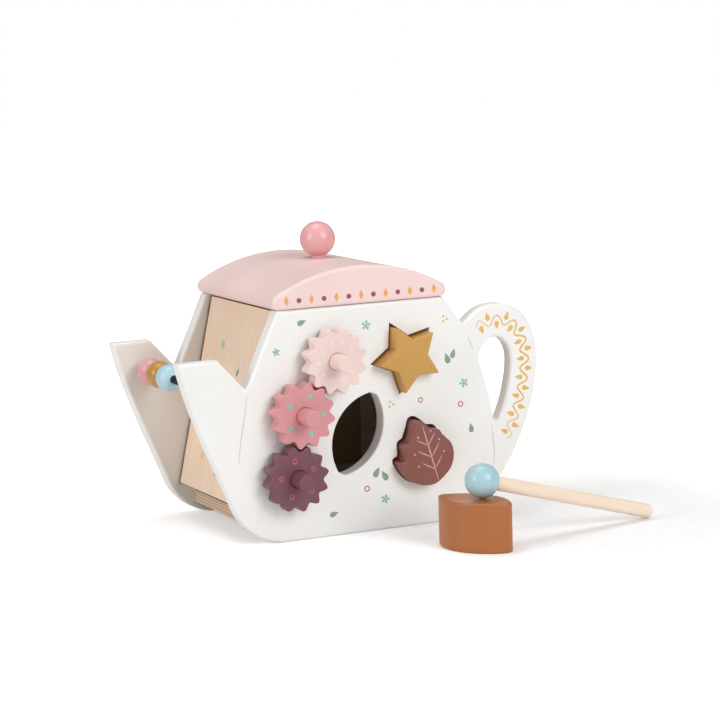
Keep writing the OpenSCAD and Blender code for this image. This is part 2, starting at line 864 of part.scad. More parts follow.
module chime_bar_1() { chime_bar(0); }
module chime_bar_2() { chime_bar(1); }
module chime_bar_3() { chime_bar(2); }
module chime_bar_4() { chime_bar(3); }
module chime_bar_5() { chime_bar(4); }

front_panel();
back_panel();
base_board();
handle_wall();
panel_dowels();
bead_rod();
flap_pins();
flap_stops();
gear_spacers();
spout_flap();
lid_block();
lid_tongue();
lid_screws();
lid_knob();
knob_dowel();
gear_top();
gear_middle();
gear_bottom();
axle_top();
axle_middle();
axle_bottom();
washer_top();
washer_middle();
washer_bottom();
screw_top();
screw_middle();
screw_bottom();
star_block();
leaf_block();
lens_block();
beater_ball();
beater_stick();
bead_pink();
bead_ochre();
bead_blue();
chime_rails();
chime_felts();
chime_screws();
chime_bar_1();
chime_bar_2();
chime_bar_3();
chime_bar_4();
chime_bar_5();
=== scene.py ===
import math

import bmesh
import bpy
from mathutils import Matrix, Vector


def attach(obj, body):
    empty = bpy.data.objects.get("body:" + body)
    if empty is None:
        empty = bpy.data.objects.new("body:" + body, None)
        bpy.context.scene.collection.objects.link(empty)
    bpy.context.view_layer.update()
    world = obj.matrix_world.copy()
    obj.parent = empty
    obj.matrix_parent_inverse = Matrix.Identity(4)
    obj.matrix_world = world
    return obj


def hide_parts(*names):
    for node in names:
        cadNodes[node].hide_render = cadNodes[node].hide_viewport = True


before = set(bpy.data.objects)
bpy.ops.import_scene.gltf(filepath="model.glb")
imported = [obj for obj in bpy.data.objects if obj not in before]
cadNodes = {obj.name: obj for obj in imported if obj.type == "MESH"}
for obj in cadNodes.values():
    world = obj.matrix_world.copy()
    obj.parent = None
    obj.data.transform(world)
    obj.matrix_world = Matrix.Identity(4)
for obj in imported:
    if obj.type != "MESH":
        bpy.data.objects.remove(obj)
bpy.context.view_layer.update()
scene = bpy.context.scene
scene.view_settings.view_transform = "Standard"
mm = 0.001


def linear(hexCode, gain=1.0):  # sRGB hex to the linear colour a shader takes
    shares = [int(hexCode[i:i + 2], 16) / 255 for i in (1, 3, 5)]
    return tuple(gain * (s / 12.92 if s <= 0.04045 else ((s + 0.055) / 1.055) ** 2.4)
                 for s in shares) + (1.0,)


def addNode(tree, kind, settings=None, links=None):
    node = tree.nodes.new(kind)
    for key, value in (settings or {}).items():
        if isinstance(key, str) and hasattr(node, key):
            setattr(node, key, value)
        else:
            node.inputs[key].default_value = value
    for key, socket in (links or {}).items():
        tree.links.new(socket, node.inputs[key])
    return node


def addRamp(tree, factor, stops):
    ramp = addNode(tree, "ShaderNodeValToRGB", None, {"Fac": factor})
    steps = ramp.color_ramp.elements
    while len(steps) < len(stops):
        steps.new(0.5)
    for step, (place, colour) in zip(steps, stops):
        step.position, step.color = place, colour
    return ramp.outputs["Color"]


def addBlend(tree, kind, amount, first, second):
    blend = addNode(tree, "ShaderNodeMix", {"data_type": "RGBA", "blend_type": kind})
    for place, value in ((0, amount), (6, first), (7, second)):
        if isinstance(value, bpy.types.NodeSocket):
            tree.links.new(value, blend.inputs[place])
        else:
            blend.inputs[place].default_value = value
    return blend.outputs[2]


def startMaterial(name):
    material = bpy.data.materials.new(name)
    material.use_nodes = True
    material.node_tree.nodes.clear()
    return material, material.node_tree


def closeMaterial(tree, shader):
    addNode(tree, "ShaderNodeOutputMaterial", None, {"Surface": shader.outputs[0]})


def bareInsideAndShade(tree, place):  # bare wood inside the box: 1 on the panels' inner faces between flap and wall, its edge set at the flap's front face so the gap beside the flap shows a painted dark shadow line; less on the rest, a painted shade
    part = addNode(tree, "ShaderNodeSeparateXYZ", None, {"Vector": place}).outputs
    level = addNode(tree, "ShaderNodeMath", {"operation": "ABSOLUTE"}, {0: part["Y"]})
    inner = addNode(tree, "ShaderNodeMath", {"operation": "LESS_THAN", 1: 58.6 * mm}, {0: level.outputs[0]})
    behind = addNode(tree, "ShaderNodeMath", {"operation": "MULTIPLY_ADD", 1: -0.229},
                     {0: part["Z"], 2: part["X"]})
    edge = addNode(tree, "ShaderNodeMapRange", {"From Min": -98.4 * mm, "From Max": -97.4 * mm},
                   {"Value": behind.outputs[0]})
    above = addNode(tree, "ShaderNodeMapRange", {"From Min": 22 * mm, "From Max": 25 * mm},
                    {"Value": part["Z"]})
    before = addNode(tree, "ShaderNodeMapRange",
                     {"From Min": 57 * mm, "From Max": 58 * mm, "To Min": 1.0, "To Max": 0.0},
                     {"Value": part["X"]})
    raised = addNode(tree, "ShaderNodeMath", {"operation": "MULTIPLY"},
                     {0: edge.outputs["Result"], 1: above.outputs["Result"]})
    closed = addNode(tree, "ShaderNodeMath", {"operation": "MULTIPLY"},
                     {0: raised.outputs[0], 1: before.outputs["Result"]})
    # painted shade: a quarter of the bare colour on every other inner face, dimming the spout's inner faces
    thin = addNode(tree, "ShaderNodeMapRange", {"To Min": 0.24, "To Max": 1.0},
                   {"Value": closed.outputs[0]})
    both = addNode(tree, "ShaderNodeMath", {"operation": "MULTIPLY"},
                   {0: inner.outputs[0], 1: thin.outputs["Result"]})
    return both.outputs[0]


def paintedWood(name, paint):  # sprayed paint: satin, a little orange peel, colour barely uneven
    material, tree = startMaterial(name)
    place = addNode(tree, "ShaderNodeTexCoord").outputs["Object"]
    cloud = addNode(tree, "ShaderNodeTexNoise", {"Scale": 1 / (paint["cloud"] * mm), "Detail": 3.0},
                    {"Vector": place})
    peel = addNode(tree, "ShaderNodeTexNoise", {"Scale": 1 / (1.4 * mm), "Detail": 2.0}, {"Vector": place})
    along = addNode(tree, "ShaderNodeMapping", {"Scale": paint["grain"]}, {"Vector": place})
    grain = addNode(tree, "ShaderNodeTexNoise", {"Scale": 1 / (1.6 * mm), "Detail": 4.0, "Roughness": 0.6},
                    {"Vector": along.outputs["Vector"]})
    tone = addRamp(tree, cloud.outputs["Fac"],
                   [(0.3, linear(paint["hex"], 0.965)), (0.7, linear(paint["hex"], 1.02))])
    lines = addRamp(tree, grain.outputs["Fac"], [(0.35, (0.93, 0.91, 0.89, 1)), (0.6, (1, 1, 1, 1))])
    tone = addBlend(tree, "MULTIPLY", paint["show"], tone, lines)
    if "bare" in paint:  # the inner face was never sprayed between flap and wall; the bare colour also lies as painted shade in the gap beside the flap and, a quarter strong, over all other inner faces
        tone = addBlend(tree, "MIX", bareInsideAndShade(tree, place), tone, linear(paint["bare"]))
    sheen = addNode(tree, "ShaderNodeMapRange",
                    {"From Min": 0.3, "From Max": 0.7, "To Min": paint["rough"] - 0.05,
                    "To Max": paint["rough"] + 0.06}, {"Value": cloud.outputs["Fac"]})
    skin = addNode(tree, "ShaderNodeBump", {"Strength": 0.06, "Distance": 0.2 * mm},
                   {"Height": peel.outputs["Fac"]})
    skin = addNode(tree, "ShaderNodeBump", {"Strength": paint["show"] * 0.4, "Distance": 0.15 * mm},
                   {"Height": grain.outputs["Fac"], "Normal": skin.outputs["Normal"]})
    closeMaterial(tree, addNode(tree, "ShaderNodeBsdfPrincipled", {"Specular IOR Level": paint["shine"]},
                  {"Base Color": tone, "Roughness": sheen.outputs["Result"],
                   "Normal": skin.outputs["Normal"]}))
    return material


def birchPly(name, wood):  # pale fine-grained faces, glued layers in stripes on the edges
    material, tree = startMaterial(name)
    place = addNode(tree, "ShaderNodeTexCoord")
    turned = addNode(tree, "ShaderNodeVectorRotate",
                     {"rotation_type": "Y_AXIS", "Angle": math.radians(wood["lean"])},
                     {"Vector": place.outputs["Object"]})
    facing = addNode(tree, "ShaderNodeVectorRotate",
                     {"rotation_type": "Y_AXIS", "Angle": math.radians(wood["lean"])},
                     {"Vector": place.outputs["Normal"]})
    along = addNode(tree, "ShaderNodeMapping", {"Scale": wood["grain"]},
                    {"Vector": turned.outputs["Vector"]})
    figure = addNode(tree, "ShaderNodeTexNoise", {"Scale": 1 / (2.2 * mm), "Detail": 5.0, "Roughness": 0.6,
                     "Distortion": 0.3}, {"Vector": along.outputs["Vector"]})
    pore = addNode(tree, "ShaderNodeTexNoise", {"Scale": 1 / (0.5 * mm), "Detail": 2.0},
                   {"Vector": along.outputs["Vector"]})
    cloud = addNode(tree, "ShaderNodeTexNoise", {"Scale": 1 / (45 * mm), "Detail": 2.0},
                    {"Vector": place.outputs["Object"]})
    face = addRamp(tree, figure.outputs["Fac"], [(0.3, linear(wood["dark"])), (0.52, linear(wood["mid"])),
                   (0.75, linear(wood["light"]))])
    face = addBlend(tree, "MULTIPLY", 0.18, face, addRamp(tree, pore.outputs["Fac"],
                    [(0.3, (0.86, 0.80, 0.74, 1)), (0.5, (1, 1, 1, 1))]))
    face = addBlend(tree, "MULTIPLY", 0.6, face, addRamp(tree, cloud.outputs["Fac"],
                    [(0.3, (0.94, 0.92, 0.90, 1)), (0.7, (1, 1, 1, 1))]))
    depth = addNode(tree, "ShaderNodeSeparateXYZ", None, {"Vector": turned.outputs["Vector"]})
    layers = addNode(tree, "ShaderNodeMath", {"operation": "MULTIPLY", 1: 1 / (wood["ply"] * mm)},
                     {0: depth.outputs[wood["axis"]]})
    wander = addNode(tree, "ShaderNodeMath", {"operation": "MULTIPLY_ADD", 1: 0.35},
                     {0: figure.outputs["Fac"],
                     2: layers.outputs[0]})
    stripe = addNode(tree, "ShaderNodeMath", {"operation": "FRACT"}, {0: wander.outputs[0]})
    edge = addRamp(tree, stripe.outputs[0], [(0.0, linear(wood["glue"])), (0.12, linear(wood["mid"])),
                   (0.5, linear(wood["light"])), (0.56, linear(wood["dark"])), (0.94, linear(wood["mid"])),
                   (1.0, linear(wood["glue"]))])
    if "burn" in wood:  # the flap's edges darkened brown: painted shade for the gap beside the flap
        edge = addBlend(tree, "MULTIPLY", 1.0, edge, linear(wood["burn"]))
    tilt = addNode(tree, "ShaderNodeSeparateXYZ", None, {"Vector": facing.outputs["Vector"]})
    flat = addNode(tree, "ShaderNodeMath", {"operation": "ABSOLUTE"}, {0: tilt.outputs[wood["axis"]]})
    onFace = addNode(tree, "ShaderNodeMapRange", {"From Min": 0.85, "From Max": 0.985},
                     {"Value": flat.outputs[0]})
    tone = addBlend(tree, "MIX", onFace.outputs["Result"], edge, face)
    skin = addNode(tree, "ShaderNodeBump", {"Strength": 0.25, "Distance": 0.12 * mm},
                   {"Height": figure.outputs["Fac"]})
    closeMaterial(tree, addNode(tree, "ShaderNodeBsdfPrincipled",
                                {"Roughness": 0.62, "Specular IOR Level": 0.3},
                  {"Base Color": tone, "Normal": skin.outputs["Normal"]}))
    return material


def rawBeech(name, wood):  # turned dowel, unpainted: long soft grain with short darker flecks
    material, tree = startMaterial(name)
    place = addNode(tree, "ShaderNodeTexCoord").outputs["Object"]
    turned = addNode(tree, "ShaderNodeVectorRotate",
                     {"rotation_type": "Z_AXIS", "Angle": math.radians(-wood["heading"])},
                     {"Vector": place})
    laid = addNode(tree, "ShaderNodeVectorRotate",
                   {"rotation_type": "Y_AXIS", "Angle": math.radians(-wood["tilt"])},
                   {"Vector": turned.outputs["Vector"]})
    along = addNode(tree, "ShaderNodeMapping", {"Scale": wood["grain"]}, {"Vector": laid.outputs["Vector"]})
    figure = addNode(tree, "ShaderNodeTexNoise",
                     {"Scale": 1 / (1.8 * mm), "Detail": 4.0, "Roughness": 0.55},
                     {"Vector": along.outputs["Vector"]})
    fleck = addNode(tree, "ShaderNodeTexVoronoi", {"Scale": 1 / (1.1 * mm)},
                    {"Vector": along.outputs["Vector"]})
    tone = addRamp(tree, figure.outputs["Fac"], [(0.3, linear(wood["dark"])), (0.7, linear(wood["light"]))])
    tone = addBlend(tree, "MULTIPLY", 0.6, tone, addRamp(tree, fleck.outputs["Distance"],
                    [(0.05, (0.84, 0.74, 0.64, 1)), (0.2, (1, 1, 1, 1))]))
    skin = addNode(tree, "ShaderNodeBump", {"Strength": 0.2, "Distance": 0.1 * mm},
                   {"Height": figure.outputs["Fac"]})
    closeMaterial(tree, addNode(tree, "ShaderNodeBsdfPrincipled",
                                {"Roughness": 0.55, "Specular IOR Level": 0.35},
                  {"Base Color": tone, "Normal": skin.outputs["Normal"]}))
    return material


def smoothMetal(name, metal):  # rolled or plated: bright, with fine lines that stretch highlights
    material, tree = startMaterial(name)
    place = addNode(tree, "ShaderNodeTexCoord").outputs["Object"]
    along = addNode(tree, "ShaderNodeMapping", {"Scale": metal["grain"]}, {"Vector": place})
    lines = addNode(tree, "ShaderNodeTexNoise", {"Scale": 1 / (0.6 * mm), "Detail": 3.0},
                    {"Vector": along.outputs["Vector"]})
    tone = addRamp(tree, lines.outputs["Fac"],
                   [(0.3, linear(metal["hex"], 0.9)), (0.7, linear(metal["hex"], 1.03))])
    sheen = addNode(tree, "ShaderNodeMapRange",
                    {"From Min": 0.3, "From Max": 0.7, "To Min": metal["rough"] - 0.06,
                    "To Max": metal["rough"] + 0.08}, {"Value": lines.outputs["Fac"]})
    skin = addNode(tree, "ShaderNodeBump", {"Strength": 0.08, "Distance": 0.05 * mm},
                   {"Height": lines.outputs["Fac"]})
    closeMaterial(tree, addNode(tree, "ShaderNodeBsdfPrincipled", {"Metallic": 1.0},
                  {"Base Color": tone, "Roughness": sheen.outputs["Result"],
                   "Normal": skin.outputs["Normal"]}))
    return material


def woolFelt(name, wool):  # pressed felt: matt, fibrous, with a pale fuzz at grazing angles
    material, tree = startMaterial(name)
    place = addNode(tree, "ShaderNodeTexCoord").outputs["Object"]
    fibre = addNode(tree, "ShaderNodeTexNoise", {"Scale": 1 / (0.5 * mm), "Detail": 5.0, "Roughness": 0.7},
                    {"Vector": place})
    tone = addRamp(tree, fibre.outputs["Fac"],
                   [(0.3, linear(wool["hex"], 0.7)), (0.7, linear(wool["hex"], 1.1))])
    skin = addNode(tree, "ShaderNodeBump", {"Strength": 0.6, "Distance": 0.3 * mm},
                   {"Height": fibre.outputs["Fac"]})
    closeMaterial(tree, addNode(tree, "ShaderNodeBsdfPrincipled",
                                {"Roughness": 0.95, "Specular IOR Level": 0.1,
                  "Sheen Weight": 0.3}, {"Base Color": tone, "Normal": skin.outputs["Normal"]}))
    return material


def printInk(name, ink):  # thin screen-printed ink: a little uneven where the screen gave less
    material, tree = startMaterial(name)
    place = addNode(tree, "ShaderNodeTexCoord").outputs["Object"]
    cover = addNode(tree, "ShaderNodeTexNoise", {"Scale": 1 / (1.1 * mm), "Detail": 3.0}, {"Vector": place})
    tone = addRamp(tree, cover.outputs["Fac"], [(0.3, linear(ink["hex"])), (0.75, linear(ink["thin"]))])
    closeMaterial(tree, addNode(tree, "ShaderNodeBsdfPrincipled",
                                {"Roughness": 0.5, "Specular IOR Level": 0.3},
                  {"Base Color": tone}))
    return material


upright, lengthwise, crosswise = (1, 1, 0.06), (0.06, 1, 1), (1, 0.06, 1)  # way the wood's grain runs
paints = {
    "whitePaint": {"hex": "#F2F0EC", "rough": 0.42, "shine": 0.4, "cloud": 60, "grain": upright,
                   "show": 0.10,
                   # bare wood inside the box, also used as painted shade on the panels' inner faces
                   "bare": "#B8A688"},
    "lidPink": {"hex": "#F1D4CF", "rough": 0.42, "shine": 0.4, "cloud": 40, "grain": lengthwise,
                "show": 0.15},
    "knobPink": {"hex": "#E8ABAA", "rough": 0.28, "shine": 0.5, "cloud": 15, "grain": upright,
                 "show": 0.10},
    "palePink": {"hex": "#EBD2CA", "rough": 0.35, "shine": 0.5, "cloud": 25, "grain": upright,
                 "show": 0.25},
    "rosePink": {"hex": "#D59193", "rough": 0.35, "shine": 0.5, "cloud": 25, "grain": upright,
                 "show": 0.25},
    "plumPaint": {"hex": "#764652", "rough": 0.35, "shine": 0.5, "cloud": 25, "grain": upright,
                  "show": 0.35},
    "ochrePaint": {"hex": "#C8974A", "rough": 0.35, "shine": 0.5, "cloud": 25, "grain": upright,
                   "show": 0.35},
    "leafBrown": {"hex": "#8A5147", "rough": 0.35, "shine": 0.5, "cloud": 25, "grain": upright,
                  "show": 0.35},
    "terracotta": {"hex": "#AD6734", "rough": 0.35, "shine": 0.5, "cloud": 25, "grain": upright,
                   "show": 0.45},
    "skyBlue": {"hex": "#A8CAD3", "rough": 0.28, "shine": 0.5, "cloud": 15, "grain": upright, "show": 0.12},
    "beadRose": {"hex": "#DDA0A4", "rough": 0.28, "shine": 0.5, "cloud": 12, "grain": crosswise,
                 "show": 0.10},
    "beadOchre": {"hex": "#C08C3E", "rough": 0.28, "shine": 0.5, "cloud": 12, "grain": crosswise,
                  "show": 0.10},
    "beadBlue": {"hex": "#B0D2DE", "rough": 0.28, "shine": 0.5, "cloud": 12, "grain": crosswise,
                 "show": 0.10},
    "blackPaint": {"hex": "#060607", "rough": 0.50, "shine": 0.2, "cloud": 20, "grain": crosswise,
                   "show": 0.20},
}
flapLean = 12.9
plies = {
    # the flap's darker edge colour is painted shade of the gap beside it
    "flapPly": {"lean": -flapLean, "grain": upright, "axis": "X", "ply": 2.0, "dark": "#ECCFB4",
                "mid": "#F1D6BE",
                "light": "#F3DCC7", "glue": "#7A5A40", "burn": "#5C3D28"},
    "wallPly": {"lean": 0, "grain": upright, "axis": "X", "ply": 2.0, "dark": "#CFA985", "mid": "#DFC2A0",
                "light": "#E8D0B2", "glue": "#7A5A40"},
    "boardPly": {"lean": 0, "grain": lengthwise, "axis": "Z", "ply": 2.4, "dark": "#CBA585",
                 "mid": "#DCBFA2",
                 "light": "#E8D2B8", "glue": "#7A5A40"},
}
stickHeading, stickTilt = 6.8, 16.0  # degrees, from the ball down to the floor
beeches = {
    "stickBeech": {"heading": stickHeading, "tilt": stickTilt, "grain": lengthwise, "dark": "#EFD7BC",
                   "light": "#F6E3D0"},
    "dowelBeech": {"heading": 0, "tilt": 0, "grain": crosswise, "dark": "#DDB78F", "light": "#EED3B2"},
}
metals = {
    "zincSteel": {"hex": "#B9BDC0", "rough": 0.32, "grain": crosswise},
    "roseAluminium": {"hex": "#E0A59C", "rough": 0.30, "grain": lengthwise},
    "goldAluminium": {"hex": "#DDBB74", "rough": 0.30, "grain": lengthwise},
}
inks = {
    "tealInk": {"hex": "#66BDB4", "thin": "#93D2CA"},
    "sageInk": {"hex": "#7B9386", "thin": "#9AAEA1"},
    "orangeInk": {"hex": "#E49A3E", "thin": "#EBB468"},
    "redInk": {"hex": "#B8503E", "thin": "#CC7C68"},
    "plumInk": {"hex": "#8E4258", "thin": "#A4627A"},
    "ochreInk": {"hex": "#DCA84A", "thin": "#EBC67C"},
    "pinkInk": {"hex": "#D9A8A4", "thin": "#C4908A"},
    "whiteInk": {"hex": "#F4EDE6", "thin": "#EBDCD2"},
    "creaseShadeInk": {"hex": "#C9C3BC", "thin": "#DAD6D0"},
}
materials = {}
for table, make in ((paints, paintedWood), (plies, birchPly), (beeches, rawBeech), (metals, smoothMetal),
                    (inks, printInk)):
    for name, settings in table.items():
        materials[name] = make(name, settings)
materials["woolFelt"] = woolFelt("woolFelt", {"hex": "#8A8580"})
print("materials:", len(materials))


def placePiece(name, shape, piece, replaced=None):  # turns a bmesh into a shown object on its body
    for face in shape.faces:
        face.smooth = True
    crease = math.radians(piece.get("crease", 38))
    for edge in shape.edges:
        edge.smooth = len(edge.link_faces) == 2 and edge.calc_face_angle() < crease
    mesh = bpy.data.meshes.new(name)
    shape.to_mesh(mesh)
    shape.free()
    mesh.materials.append(materials[piece["material"]])
    thing = bpy.data.objects.new(name, mesh)
    scene.collection.objects.link(thing)
    thing.modifiers.new("evenNormals", "WEIGHTED_NORMAL").keep_sharp = True
    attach(thing, piece["body"])
    if replaced:
        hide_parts(replaced)
    return thing


def softCopy(node, piece):  # CAD solid with the rims of both faces, and some corners, sanded round
    shape = bmesh.new()
    shape.from_mesh(cadNodes[node].data)
    bmesh.ops.remove_doubles(shape, verts=shape.verts, dist=0.01 * mm)
    bmesh.ops.dissolve_limit(shape, angle_limit=math.radians(1), verts=shape.verts, edges=shape.edges)
    through = Vector(piece.get("through", (0, 1, 0)))
    rims = {}
    for edge in shape.edges:
        if len(edge.link_faces) != 2 or edge.calc_face_angle() < math.radians(50):
            continue
        flats = sum(abs(face.normal.dot(through)) > 0.97 for face in edge.link_faces)
        middle = (edge.verts[0].co + edge.verts[1].co) / 2 / mm
        near = [size for x, z, reach, size in piece.get("holes",
                                                        ()) if math.hypot(middle.x - x,
                                                                          middle.z - z) < reach]
        size = near[0] if near else piece["rim"]
        if flats == 1 or flats == 0 and piece.get("corners") and edge.is_convex:
            rims.setdefault(size, []).append(edge)
    for size, chosen in rims.items():
        if size and chosen:
            bmesh.ops.bevel(shape, geom=chosen, offset=size * mm, offset_type="OFFSET", affect="EDGES",
                            profile=0.5,
                            segments=piece.get("segments", 4), material=-1, clamp_overlap=False,
                            loop_slide=False)
    bmesh.ops.recalc_face_normals(shape, faces=shape.faces)
    words = node.split("_")
    return placePiece(words[0] + "".join(word.capitalize() for word in words[1:]), shape, piece, node)


leanOut = (math.cos(math.radians(flapLean)), 0, -math.sin(math.radians(flapLean)))
stickWay = Matrix.Rotation(math.radians(stickHeading), 3, "Z") @ Vector(
    (math.cos(math.radians(stickTilt)), 0, -math.sin(math.radians(stickTilt))))
panelHoles = ((-5.6, 70.9, 37, 1.2), (32.8, 122.6, 31, 0), (45.2, 52.2, 30, 0), (-26.5, 125.5, 8, 0),
              (-52.2, 90, 8, 0),
              (-58.5, 46.7, 8, 0))  # x, z, reach and rim rounding: only the open lens hole is sanded
softened = {
    "front_panel": {"body": "teapot", "material": "whitePaint", "slot": "white_paint", "rim": 2.4,
                    "holes": panelHoles},
    "back_panel": {"body": "teapot", "material": "whitePaint", "slot": "white_paint", "rim": 2.4},
    "base_board": {"body": "teapot", "material": "boardPly", "slot": "birch_ply", "rim": 0.7,
                   "corners": True,
                   "segments": 2, "through": (0, 0, 1)},
    "handle_wall": {"body": "teapot", "material": "wallPly", "slot": "birch_ply", "rim": 0.7,
                    "corners": True,
                    "segments": 2, "through": (1, 0, 0)},
    "spout_flap": {"body": "flap", "material": "flapPly", "slot": "birch_ply", "rim": 0.7, "corners": True,
                   "segments": 2, "through": leanOut},
    "lid_block": {"body": "lid", "material": "lidPink", "slot": "lid_pink", "rim": 2.4},
    "lid_tongue": {"body": "lid", "material": "boardPly", "slot": "birch_ply", "rim": 0.7, "corners": True,
                   "segments": 2, "through": (0, 0, 1)},
    "gear_top": {"body": "top_gear", "material": "palePink", "slot": "pale_pink", "rim": 0.9,
                 "segments": 3},
    "gear_middle": {"body": "middle_gear", "material": "rosePink", "slot": "rose", "rim": 0.9,
                    "segments": 3},
    "gear_bottom": {"body": "bottom_gear", "material": "plumPaint", "slot": "plum", "rim": 0.9,
                    "segments": 3},
    "star_block": {"body": "star", "material": "ochrePaint", "slot": "ochre", "rim": 1.2, "corners": True},
    "leaf_block": {"body": "leaf", "material": "leafBrown", "slot": "leaf_brown", "rim": 1.0},
    "lens_block": {"body": "lens", "material": "terracotta", "slot": "terracotta", "rim": 1.5,
                   "corners": True,
                   "through": (0, 0, 1)},
    "beater_stick": {"body": "beater", "material": "stickBeech", "slot": "beech", "rim": 1.0,
                     "through": stickWay},
}
for node, piece in softened.items():
    softCopy(node, piece)
print("softened copies:", len(softened))

plain = {
    "panel_dowels": "dowelBeech", "bead_rod": "blackPaint", "flap_pins": "zincSteel",
         "flap_stops": "dowelBeech",
    "gear_spacers": "dowelBeech", "lid_screws": "zincSteel", "lid_knob": "knobPink",
         "knob_dowel": "dowelBeech",
    "axle_top": "palePink", "axle_middle": "rosePink", "axle_bottom": "plumPaint",
    "washer_top": "zincSteel", "washer_middle": "zincSteel", "washer_bottom": "zincSteel",
    "screw_top": "zincSteel", "screw_middle": "zincSteel", "screw_bottom": "zincSteel",
    "beater_ball": "skyBlue", "bead_pink": "beadRose", "bead_ochre": "beadOchre", "bead_blue": "beadBlue",
    "chime_rails": "dowelBeech", "chime_felts": "woolFelt", "chime_screws": "zincSteel",
    "chime_bar_1": "roseAluminium", "chime_bar_2": "goldAluminium", "chime_bar_3": "roseAluminium",
    "chime_bar_4": "goldAluminium", "chime_bar_5": "roseAluminium",
}
for node, name in plain.items():
    cadNodes[node].data.materials.clear()
    cadNodes[node].data.materials.append(materials[name])
print("CAD nodes shown as they are:", len(plain))


def smoothPath(points, step):  # a rounded line through points, in mm
    spots = [Vector(p) for p in points]
    ends = [2 * spots[0] - spots[1]] + spots + [2 * spots[-1] - spots[-2]]
    path = []
    for p0, p1, p2, p3 in zip(ends, ends[1:], ends[2:], ends[3:]):
        count = max(1, round((p2 - p1).length / step))
        for i in range(count):
            t = i / count
            path.append(0.5 * (2 * p1 + (p2 - p0) * t + (2 * p0 - 5 * p1 + 4 * p2 - p3) * t * t
                               + (3 * p1 - p0 - 3 * p2 + p3) * t ** 3))
    return path + [spots[-1]]


def waveAlong(path, wave, height):
    gone, out = 0.0, []
    for here, there in zip(path, path[1:]):
        way = (there - here).normalized()
        out.append(here + Vector((-way.y, way.x)) * height * math.sin(2 * math.pi * gone / wave))
        gone += (there - here).length
    return out


def addPatch(shape, points):
    shape.faces.new([shape.verts.new((p[0], p[1], 0)) for p in points])


def addStroke(shape, path, width, taper=True, closed=False):
    rows = []
    for i, here in enumerate(path):
        before = path[i - 1] if i or closed else here
        after = path[(i + 1) % len(path)] if i + 1 < len(path) or closed else here
        way = (after - before).normalized()
        share = i / (len(path) - 1)
        half = width / 2 * (0.35 + 0.65 * math.sin(math.pi * share) if taper else 1)
        side = Vector((-way.y, way.x)) * half
        rows.append([shape.verts.new((*(here + side), 0)), shape.verts.new((*(here - side), 0))])
    for a, b in zip(rows, rows[1:] + (rows[:1] if closed else [])):
        shape.faces.new((a[0], a[1], b[1], b[0]))


def addMark(shape, kind, x, y, size, turn=0):
    spin = Matrix.Rotation(math.radians(turn), 2)
    at = Vector((x, y))
    if kind == "dot":
        addPatch(shape, [at + size * Vector((math.cos(a), math.sin(a))) for a in ringAngles(18)])
    elif kind == "ring":
        addStroke(shape, [at + size * Vector((math.cos(a), math.sin(a))) for a in ringAngles(24)], 0.8,
                  False, True)
    elif kind == "drop":
        addPatch(shape, [at + spin @ Vector((size * 0.5 * math.cos(a),
                                             size * 0.24 * math.sin(a) * (1 - math.cos(a)) ** 0.7))
                         for a in ringAngles(22)])
    elif kind == "diamond":
        addPatch(shape, [at + spin @ Vector(p) * size
                         for p in ((0.5, 0), (0, 0.24), (-0.5, 0), (0, -0.24))])
    elif kind == "petals":
        for k in range(5):
            leaf = Matrix.Rotation(math.radians(turn + 72 * k), 2)
            addPatch(shape, [at + leaf @ Vector((size * (0.62 + 0.36 * math.cos(a)),
                                                 size * 0.27 * math.sin(a)))
                             for a in ringAngles(14)])


def ringAngles(count):
    return [2 * math.pi * i / count for i in range(count)]


def addPrint(name, ink, host, marks, strokes=()):  # ink lies 0.08 mm proud of its host's face
    shape = bmesh.new()
    for mark in marks:
        addMark(shape, *mark)
    for path, width in strokes:
        addStroke(shape, path, width)
    film = bmesh.ops.extrude_face_region(shape, geom=shape.faces[:])["geom"]
    bmesh.ops.translate(shape, verts=[v for v in film if isinstance(v, bmesh.types.BMVert)],
                        vec=(0, 0, 0.16))
    bmesh.ops.recalc_face_normals(shape, faces=shape.faces)
    right, up = Vector(host["right"]), Vector(host["up"])
    out = right.cross(up)
    place = Matrix([(*right, 0), (*up, 0), (*out, 0),
                    (*(Vector(host["origin"]) - 0.08 * out), 1)]).transposed()
    bmesh.ops.transform(shape, matrix=Matrix.Scale(mm, 4) @ place, verts=shape.verts)
    return placePiece(name, shape, {"body": host["body"], "material": ink})


panelOut, gearOut, leafOut, lidFoot = 70, 84.3, 80, 162.3  # mm to the printed faces, and the lid's height
flapPin, flapHalf = Vector((-60.3, 0, 150.38)), 3
flapUp = Vector((math.sin(math.radians(flapLean)), 0, math.cos(math.radians(flapLean))))
hosts = {
    "front": {"body": "teapot", "origin": (0, -panelOut, 0), "right": (1, 0, 0), "up": (0, 0, 1)},
    "back": {"body": "teapot", "origin": (0, panelOut, 0), "right": (-1, 0, 0), "up": (0, 0, 1)},
    "lid": {"body": "lid", "origin": (0, -panelOut, lidFoot), "right": (1, 0, 0), "up": (0, 0, 1)},
    "topGear": {"body": "top_gear", "origin": (-26.517, -gearOut, 125.487), "right": (1, 0, 0),
                "up": (0, 0, 1)},
    "middleGear": {"body": "middle_gear", "origin": (-52.2, -gearOut, 90.007), "right": (1, 0, 0),
                   "up": (0, 0, 1)},
    "bottomGear": {"body": "bottom_gear", "origin": (-58.523, -gearOut, 46.666), "right": (1, 0, 0),
                   "up": (0, 0, 1)},
    "leaf": {"body": "leaf", "origin": (0, -leafOut, 0), "right": (1, 0, 0), "up": (0, 0, 1)},
    "flap": {"body": "flap", "origin": flapPin - flapHalf * Vector(leanOut), "right": (0, -1, 0),
             "up": flapUp},
}
flowers = [(3, 147, 3.6, 10), (79, 99, 3.6, 40), (14, 22, 3.4, 0), (-66, 134, 3.0, 25)]
addPrint("panelPetals", "tealInk", hosts["front"], [("petals", *spot) for spot in flowers])
